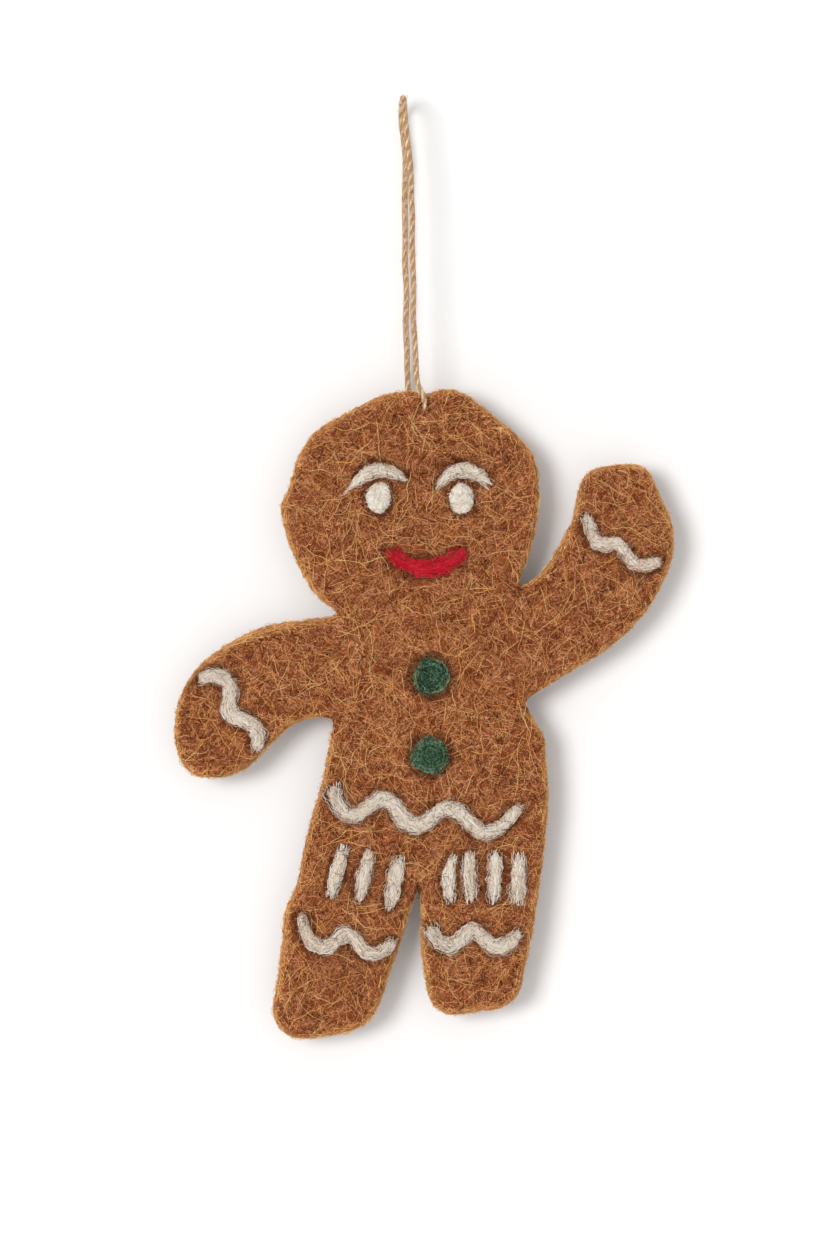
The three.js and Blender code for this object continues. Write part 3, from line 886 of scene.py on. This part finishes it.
def make_knot(tree, lay, fuzz_sizes, hairs):
    """The knot behind the head, drawn tight over the needle hole that the twine comes out of."""
    centre = Vector(KNOT_CENTRE) - Vector((0, 0.2, 0))
    tight = {**lay, "Ply radius": 0.29 * MM, "Lay radius": 0.29 * MM, "Pitch": 3 * MM}
    parts = []
    for k, points in enumerate(knot_routes()):
        line = path_object("knot_line", [(centre + point) * MM for point in smooth_route(points, 0.2)])
        parts.append(grown(f"knot_part_{k}", line, tree, tight))
        drop(line)
    knot = joined("jute_knot", parts)
    fuzz = grown("jute_knot_fuzz", knot, hairs, {**fuzz_sizes, "Hairs per area": 3e6, "Seed": 4})
    for piece in (knot, fuzz):
        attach(piece, "stitch")
    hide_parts("twine_knot")
    return knot


def from_needle_hole(point):
    """How far and which way a point is from the middle of the needle hole, square to its axis."""
    out = point - NEEDLE_HOLE
    out.y = 0
    return out


def close_needle_hole(layer):
    """Draws the felt in round the needle hole, so that it grips the twine."""
    grip = 0.6
    for vertex in layer.data.vertices:
        out = from_needle_hole(vertex.co)
        if out.length < TWINE_DIAMETER * MM:
            vertex.co -= out * grip


def fill_needle_hole(cut):
    """Takes the needle hole's wall away, so that only the scissor cuts count as edges."""
    work = bmesh.new()
    work.from_mesh(cut.data)
    near = [v for v in work.verts if from_needle_hole(v.co).length < TWINE_DIAMETER * MM]
    bmesh.ops.delete(work, geom=near)
    work.to_mesh(cut.data)
    work.free()


def felted_layer(name, node, needled_wool, face_side, fineness, tree, material):
    """One felt layer made from its CAD solid. Its face side is -1 in front and 1 behind."""
    cut = cad_copy(name + "_cut", node)
    fill_needle_hole(cut)
    block = cad_copy(name + "_block", node)
    close_needle_hole(block)
    remesh = block.modifiers.new("even mesh", "REMESH")
    remesh.mode = "VOXEL"
    remesh.voxel_size = fineness
    smooth = block.modifiers.new("smooth", "SMOOTH")
    smooth.factor = 0.5
    smooth.iterations = 13
    corners = [place(share, depth) for share in INNER_CORNERS for depth in (FRONT_FACE, BACK_FACE)]
    corners = path_object("inner_corners", corners)
    settings = {
        "Cut layer": cut, "Needled wool": needled_wool, "Inner corners": corners,
        "Face side": face_side, "Hairy inner rim": 1.5 * MM if face_side > 0 else 0.0,
        "Material": material,
    }
    layer = grown(name, block, tree, settings)
    drop(corners, block, cut)
    return layer


def packed_body(node, wool, trees, height, raggedness, size):
    """The wool that is felted into the ground, low and ragged, made from its CAD solid."""
    solid = cad_copy(node + "_solid", node)
    settings = {
        "Height": height, "Raggedness": raggedness, "Raggedness size": size,
        "Material": wool["packed"],
    }
    body = grown(node + "_body", solid, trees["packed"], settings)
    drop(solid)
    return body


def make_line(node, shares, width, seed, wool, trees):
    """A needle-felted line of wool: packed wool, fine strands along it and wisps that stray from it."""
    route = smooth_route([place(share) for share in shares], 0.5 * MM)
    fullness = spread_along(FULLNESS[node], len(route))
    past_end = (0.1 if node == "smile" else 0.6) * MM
    route.insert(0, route[0] + (route[0] - route[1]).normalized() * past_end)
    route.append(route[-1] + (route[-1] - route[-2]).normalized() * past_end)
    path = path_object(node + "_path", route, [fullness[0], *fullness, fullness[-1]])
    length = route_length(route)
    shortest = 2.5 * MM / length
    strands = {
        "Strands": int(width / (0.1 * MM)), "Width": width, "Height": 0.75 * MM,
        "Thickness": 0.17 * MM, "Wander": 1.8 * MM, "Wander size": 1.8 * MM,
        "Shortest": min(0.6, shortest), "Seed": seed, "Material": wool["strand"],
    }
    wisps = {
        "Strands": int(16 + length / (0.8 * MM)), "Width": width * 1.1, "Height": 0.7 * MM,
        "Thickness": 0.13 * MM, "Wander": 2.5 * MM, "Wander size": 1.4 * MM,
        "Shortest": min(0.4, shortest), "Seed": seed + 50, "Material": wool["strand"],
    }
    tufts = {
        "Hairs per area": 3e6, "Shortest": 1.2 * MM, "Longest": 3 * MM, "Thickness": 0.12 * MM,
        "Joints": 4, "Lift": 1.3 * MM, "Free ends": 0.4, "Curl": 0.4, "Curl size": 1.4 * MM,
        "Furthest pull": 1.2 * MM, "Seed": seed + 90, "Material": wool["strand"],
    }
    body = packed_body(node, wool, trees, height=0.45, raggedness=0.55 * MM, size=1.1 * MM)
    parts = [
        body,
        grown(node + "_strands", path, trees["strand"], strands),
        grown(node + "_wisps", path, trees["strand"], wisps),
        grown(node + "_tufts", body, trees["hair"], tufts),
    ]
    drop(path)
    return joined(node + "_wool", parts)


def make_eye(node, seed, wool, trees):
    """A needle-felted eye: a smooth packed dome with hairs."""
    body = packed_body(node, wool, trees, height=0.7, raggedness=0.6 * MM, size=1.6 * MM)
    fur = {"Hairs per area": 4e6, "Lift": 0.15 * MM}
    return joined(node + "_wool", [body, *dome_hairs(node, body, fur, seed, wool, trees)])


def make_button(node, seed, wool, trees):
    """A needle-felted button: a packed dome with hairs, and wool wound over it."""
    body = packed_body(node, wool, trees, height=0.7, raggedness=1.3 * MM, size=3.4 * MM)
    fur = {"Hairs per area": 6.5e6, "Lift": 0.3 * MM}
    parts = [body, *dome_hairs(node, body, fur, seed, wool, trees)]
    low, high = (Vector(corner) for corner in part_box(node))
    path = path_object(node + "_path", wound_path(low, high))
    winding = {
        "Strands": 7, "Width": 1.6 * MM, "Height": 0.4 * MM, "Thickness": 0.1 * MM,
        "Wander": 1.6 * MM, "Wander size": 1.3 * MM, "Shortest": 0.04, "Seed": seed,
        "Material": wool["strand"],
    }
    parts.append(grown(node + "_winding", path, trees["strand"], winding))
    drop(path)
    return joined(node + "_wool", parts)


def dome_hairs(node, body, sizes, seed, wool, trees):
    """Matted hairs all over a dome of wool, and short ones that stand up from it."""
    fur = {
        "Shortest": 1.2 * MM, "Longest": 3.2 * MM, "Thickness": 0.14 * MM, "Joints": 5,
        "Curl": 0.35, "Curl size": 2 * MM, "Seed": seed, "Material": wool["strand"], **sizes,
    }
    stray = {
        **fur, "Hairs per area": 9e6, "Shortest": 0.7 * MM, "Longest": 1.8 * MM,
        "Thickness": 0.12 * MM, "Joints": 3, "Lift": 0.9 * MM, "Free ends": 1.0, "Seed": seed + 40,
    }
    return [
        grown(node + "_fur", body, trees["hair"], fur),
        grown(node + "_stray", body, trees["hair"], stray),
    ]


def wound_path(low, high):
    """A spiral over a low dome that fills a box, as wool is wound and needled into a button."""
    centre = (low + high) / 2
    radius = (high.x - low.x) / 2
    crown = (high.y - low.y) * 0.7
    turns = 3.5
    innermost = 0.1
    outermost = 0.75
    steps = 89
    points = []
    for k in range(steps + 1):
        angle = k / steps * turns * 2 * math.pi
        out = innermost + (outermost - innermost) * (k / steps)
        x = centre.x + radius * out * math.cos(angle)
        z = centre.z + radius * out * math.sin(angle)
        points.append((x, FRONT_FACE * MM - crown * math.sqrt(1 - out * out), z))
    return points


def make_felt(trees, front_felt, back_felt, hair, long_hair):
    """The two felt layers with their hairs. Returns the front one."""
    nodes = [*EYES, *BUTTONS, *BROWS, "smile", *WAVES, *LEG_BARS]
    needled_wool = joined("needled_wool", [cad_copy(node + "_copy", node) for node in nodes])
    nothing_near = path_object("nothing_near", [(0, 1, 0), (0, 1.1, 0)])
    tree = trees["felt"]
    front = felted_layer("felt_front", "front_felt", needled_wool, -1.0, 0.58 * MM, tree, front_felt)
    back = felted_layer("felt_back", "back_felt", nothing_near, 1.0, 0.75 * MM, tree, back_felt)
    short = {
        "Hairs per area": 1.42e6, "Shortest": 1.1 * MM, "Longest": 3.4 * MM, "Thickness": 0.11 * MM,
        "Joints": 3, "Lift": 0.4 * MM, "Curl": 0.3, "Curl size": 1.6 * MM, "Furthest pull": 2 * MM,
        "Material": hair,
    }
    sparse = {**short, "Hairs per area": 2.2e6, "Thickness": 0.14 * MM}
    long = {
        "Hairs per area": 0.22e6, "Shortest": 4 * MM, "Longest": 10 * MM, "Thickness": 0.115 * MM,
        "Joints": 9, "Lift": 1.0 * MM, "Curl": 0.26, "Curl size": 4.5 * MM, "Material": long_hair,
    }
    edge = {
        "Hairs per area": 3e6, "Shortest": 0.5 * MM, "Longest": 1.5 * MM, "Thickness": 0.09 * MM,
        "Joints": 3, "Lift": 0.9 * MM, "Free ends": 1.0, "Curl": 0.3, "Curl size": 1.5 * MM,
        "Only edges": 1.0, "Material": long_hair,
    }
    rim = {
        **short, "Joints": 4, "Hairs per area": 1.7e6, "Shortest": 1.4 * MM, "Longest": 3.4 * MM,
        "Thickness": 0.14 * MM, "Lift": 0.7 * MM, "Only edges": 1.0, "Material": long_hair,
    }
    by_wool = {
        **short, "Joints": 4, "Hairs per area": 2.6e6, "Shortest": 1.2 * MM, "Longest": 3.6 * MM,
        "Thickness": 0.1 * MM, "Lift": 1.5 * MM, "Near": needled_wool, "Near reach": 1.6 * MM,
    }
    stitch = cad_copy("stitch_copy", "twine_stitch")
    by_stitch = {
        **by_wool, "Hairs per area": 6e6, "Lift": 2.4 * MM, "Near": stitch, "Near reach": 1.5 * MM,
    }
    front_growth = {
        "short_hairs_1": short, "short_hairs_2": short, "short_hairs_3": short, "long_hairs": long,
        "edge_hairs": edge, "rim_hairs": rim, "hairs_by_wool": by_wool, "hairs_by_stitch": by_stitch,
    }
    back_growth = {
        "short_hairs": sparse,
        "long_hairs": {**long, "Hairs per area": 0.1e6},
        "edge_hairs": {**edge, "Hairs per area": 1.6e6},
        "rim_hairs": {**rim, "Hairs per area": 1.2e6},
    }
    layers = ((front, "front_felt", front_growth, 11), (back, "back_felt", back_growth, 21))
    for layer, node, growth, first_seed in layers:
        hairs = []
        for seed, (label, sizes) in enumerate(growth.items(), start=first_seed):
            sizes = {**sizes, "Seed": seed}
            hairs.append(grown(f"{layer.name}_{label}", layer, trees["hair"], sizes))
            ride_figure(hairs[-1], "brown_felt")
        ride_figure(layer, "brown_felt", node)
    drop(nothing_near, needled_wool, stitch)
    return front


def make_strays(name, ground, nodes, seed, material, tree):
    """Fibres that stray from the wool onto the felt round it."""
    near = joined("near_wool", [cad_copy(node + "_copy", node) for node in nodes])
    sizes = {
        "Hairs per area": 4e6, "Shortest": 0.6 * MM, "Longest": 2 * MM, "Thickness": 0.1 * MM,
        "Joints": 4, "Lift": 0.9 * MM, "Curl": 0.35, "Curl size": 1.6 * MM, "Near": near,
        "Near reach": 0.6 * MM, "Seed": seed, "Material": material,
    }
    fibres = grown(name, ground, tree, sizes)
    drop(near)
    return fibres


def dyed_wool(name, colours, fibres):
    """Both materials of one dyed wool: loose strands, and wool that is felted in."""
    return {
        "strand": strand_material(name + " strands", colours, rooted_and_shaded_colour),
        "packed": packed_wool_material(name + " packed", colours, fibres),
    }


def make_wool(trees, ground, fibres):
    """The brows, eyes and smile, the buttons, the waves and the bars."""
    cream = dyed_wool("cream wool", ((216, 182, 152), (255, 246, 230), (255, 254, 249)), fibres)
    eye = dyed_wool("eye wool", ((246, 226, 204), (255, 250, 238), (255, 255, 250)), fibres)
    red = dyed_wool("red wool", ((200, 28, 46), (226, 38, 60), (238, 66, 84)), fibres)
    green = dyed_wool("green wool", ((22, 42, 30), (54, 92, 68), (150, 184, 150)), fibres)
    stray_colours = ((190, 140, 98), (242, 210, 172), (255, 238, 212))
    cream_stray = strand_material("cream strays", stray_colours, rooted_and_shaded_colour)
    usual_width = 3.6
    widths = {
        "left_brow": 3.3, "right_brow": 3.3, "smile": 4.3, "left_cuff_wave": 3.7, "right_cuff_wave": 3.2,
    }
    lines = {**BROWS, "smile": SMILE, **WAVES, **LEG_BARS}
    for seed, (node, shares) in enumerate(lines.items(), start=30):
        yarn, slot = (red, "red_wool") if node == "smile" else (cream, "cream_wool")
        width = widths.get(node, usual_width) * MM
        ride_figure(make_line(node, shares, width, seed, yarn, trees), slot, node)
    for seed, node in enumerate(EYES, start=70):
        ride_figure(make_eye(node, seed, eye, trees), "cream_wool", node)
    for seed, node in enumerate(BUTTONS, start=80):
        ride_figure(make_button(node, seed, green, trees), "green_wool", node)
    strays = (
        ("cream", [*BROWS, *EYES, *WAVES, *LEG_BARS], cream_stray),
        ("green", BUTTONS, green["strand"]),
        ("red", ["smile"], red["strand"]),
    )
    for seed, (colour, nodes, material) in enumerate(strays, start=91):
        stray = make_strays(colour + "_strays", ground, nodes, seed, material, trees["hair"])
        ride_figure(stray, colour + "_wool")


def make_ornament():
    fibres = fibre_group()
    trees = {
        "hair": hair_tree(), "strand": strand_tree(), "felt": felt_tree(), "packed": packed_tree(),
    }
    jute_fuzz = strand_material("jute fuzz", ((184, 146, 106), (240, 210, 172), (255, 244, 222)))
    make_twine(twine_material(), jute_fuzz, trees["hair"])
    brown = ((58, 24, 10), (156, 78, 41), (252, 188, 134))
    # The felt's hairs take the felt's colour: darker round the wool (partly pulled-in fibres, partly
    # painted shade) and golden at the cut edge
    hair = strand_material("brown felt fibres", brown, felted_and_shaded_colour)
    golden = ((206, 128, 62), (250, 182, 108), (255, 216, 146))
    long_hair = strand_material("golden felt hairs", golden, felted_and_shaded_colour)
    front_tones = ((72, 30, 14), (144, 74, 40), (144, 66, 34), (224, 152, 104))
    front_felt = felt_material("brown felt", front_tones, 0.17 * MM, fibres)
    back_tones = ((112, 58, 28), (206, 134, 82), (192, 114, 62), (255, 206, 150))
    back_felt = felt_material("brown felt back", back_tones, 0.34 * MM, fibres)
    front = make_felt(trees, front_felt, back_felt, hair, long_hair)
    make_wool(trees, front, fibres)


# The room round the ornament


def add_camera():
    """The camera at the photograph's angle: straight in front of the middle of its frame."""
    distance = 1.2
    frame_height = 0.2888
    camera = bpy.data.cameras.new("camera")
    camera.sensor_width = 36
    camera.lens = camera.sensor_width * distance / frame_height
    viewer = in_scene("camera", camera)
    viewer.location = (3.01 * MM, -distance, -121 * MM)
    viewer.rotation_euler = (math.pi / 2, 0, 0)
    bpy.context.scene.camera = viewer


def backdrop_mesh():
    """A wall close behind the ornament that runs down into a floor in one quarter round."""
    wall = 7.0 * MM
    wall_top = 600 * MM
    floor = -330 * MM
    bend = 120 * MM
    reach = 2.5
    steps = 12
    profile = [(wall, wall_top)]
    for k in range(steps + 1):
        turn = k / steps * math.pi / 2
        profile.append((wall - bend * (1 - math.cos(turn)), floor + bend * (1 - math.sin(turn))))
    profile.append((-reach, floor))
    points = [(x, y, z) for y, z in profile for x in (-reach, reach)]
    faces = [(2 * k, 2 * k + 2, 2 * k + 3, 2 * k + 1) for k in range(len(profile) - 1)]
    mesh = bpy.data.meshes.new("backdrop")
    mesh.from_pydata(points, [], faces)
    for polygon in mesh.polygons:
        polygon.use_smooth = True
    return mesh


def add_stage():
    """A pale wall and floor. The wall is seen only from its front, and it lets light in from behind."""
    material, tree, shader = dry_material("pale backdrop")
    rays = add_node(tree, "ShaderNodeLightPath")
    surface = add_node(tree, "ShaderNodeNewGeometry")
    seen = rays["Is Camera Ray"]
    grey = (0.9, 0.9, 0.9, 1)
    pale = (0.96, 0.965, 0.97, 1)
    link(blended(seen, grey, pale), shader.inputs["Base Color"])

    # The camera sees the floor white, also where it lies far off
    level = add_node(tree, "ShaderNodeSeparateXYZ", {0: surface["Normal"]})["Z"]
    glow = add_node(tree, "ShaderNodeEmission", {"Color": (1, 1, 1, 1)})[0]
    whiteness = maths("MAXIMUM", level, 0.0) * seen * 0.8
    wires = {0: whiteness, 1: Wire(shader.outputs[0]), 2: glow}
    solid = add_node(tree, "ShaderNodeMixShader", wires)[0]

    # A shadow ray has a depth of 1 where it leaves a surface that the camera sees
    straight = maths("LESS_THAN", rays["Ray Depth"], 1.5)
    see_through = maths("MAXIMUM", surface["Backfacing"], rays["Is Shadow Ray"] * straight)
    clear = add_node(tree, "ShaderNodeBsdfTransparent")[0]
    wall = add_node(tree, "ShaderNodeMixShader", {0: see_through, 1: solid, 2: clear})[0]
    link(wall, tree.nodes["Material Output"].inputs["Surface"])
    backdrop = in_scene("backdrop", backdrop_mesh())
    backdrop.data.materials.append(material)


def add_light():
    """Soft studio light: a pale world, a broad lamp in front on the left and one behind."""
    world = bpy.data.worlds.new("studio")
    bpy.context.scene.world = world
    world.use_nodes = True
    tree = world.node_tree
    rays = add_node(tree, "ShaderNodeLightPath")
    direct = maths("MAXIMUM", rays["Is Camera Ray"], rays["Is Glossy Ray"])
    direct = maths("MAXIMUM", direct, rays["Is Transmission Ray"])
    room_strength = 0.62
    strength = add_node(tree, "ShaderNodeMapRange", {"Value": direct, 3: room_strength, 4: 1.0})[0]
    background = tree.nodes["Background"].inputs
    link(strength, background["Strength"])
    warm = (1, 0.97, 0.945, 1)
    white = (1, 1, 1, 1)
    link(blended(direct, warm, white), background["Color"])

    # Which way each lamp shines, its strength, and how broad it is in degrees
    lamps = {"key": ((0.5, 0.86, -0.12), 1.65, 26), "rear": ((-0.4, -0.8, -0.45), 3.0, 30)}
    for name, (aim, energy, spread) in lamps.items():
        lamp = bpy.data.lights.new(name, "SUN")
        lamp.energy = energy
        lamp.angle = math.radians(spread)
        in_scene(name, lamp).rotation_euler = Vector(aim).to_track_quat("-Z", "Y").to_euler()


bpy.context.scene.view_settings.view_transform = "Standard"
add_camera()
make_ornament()
add_stage()
add_light()
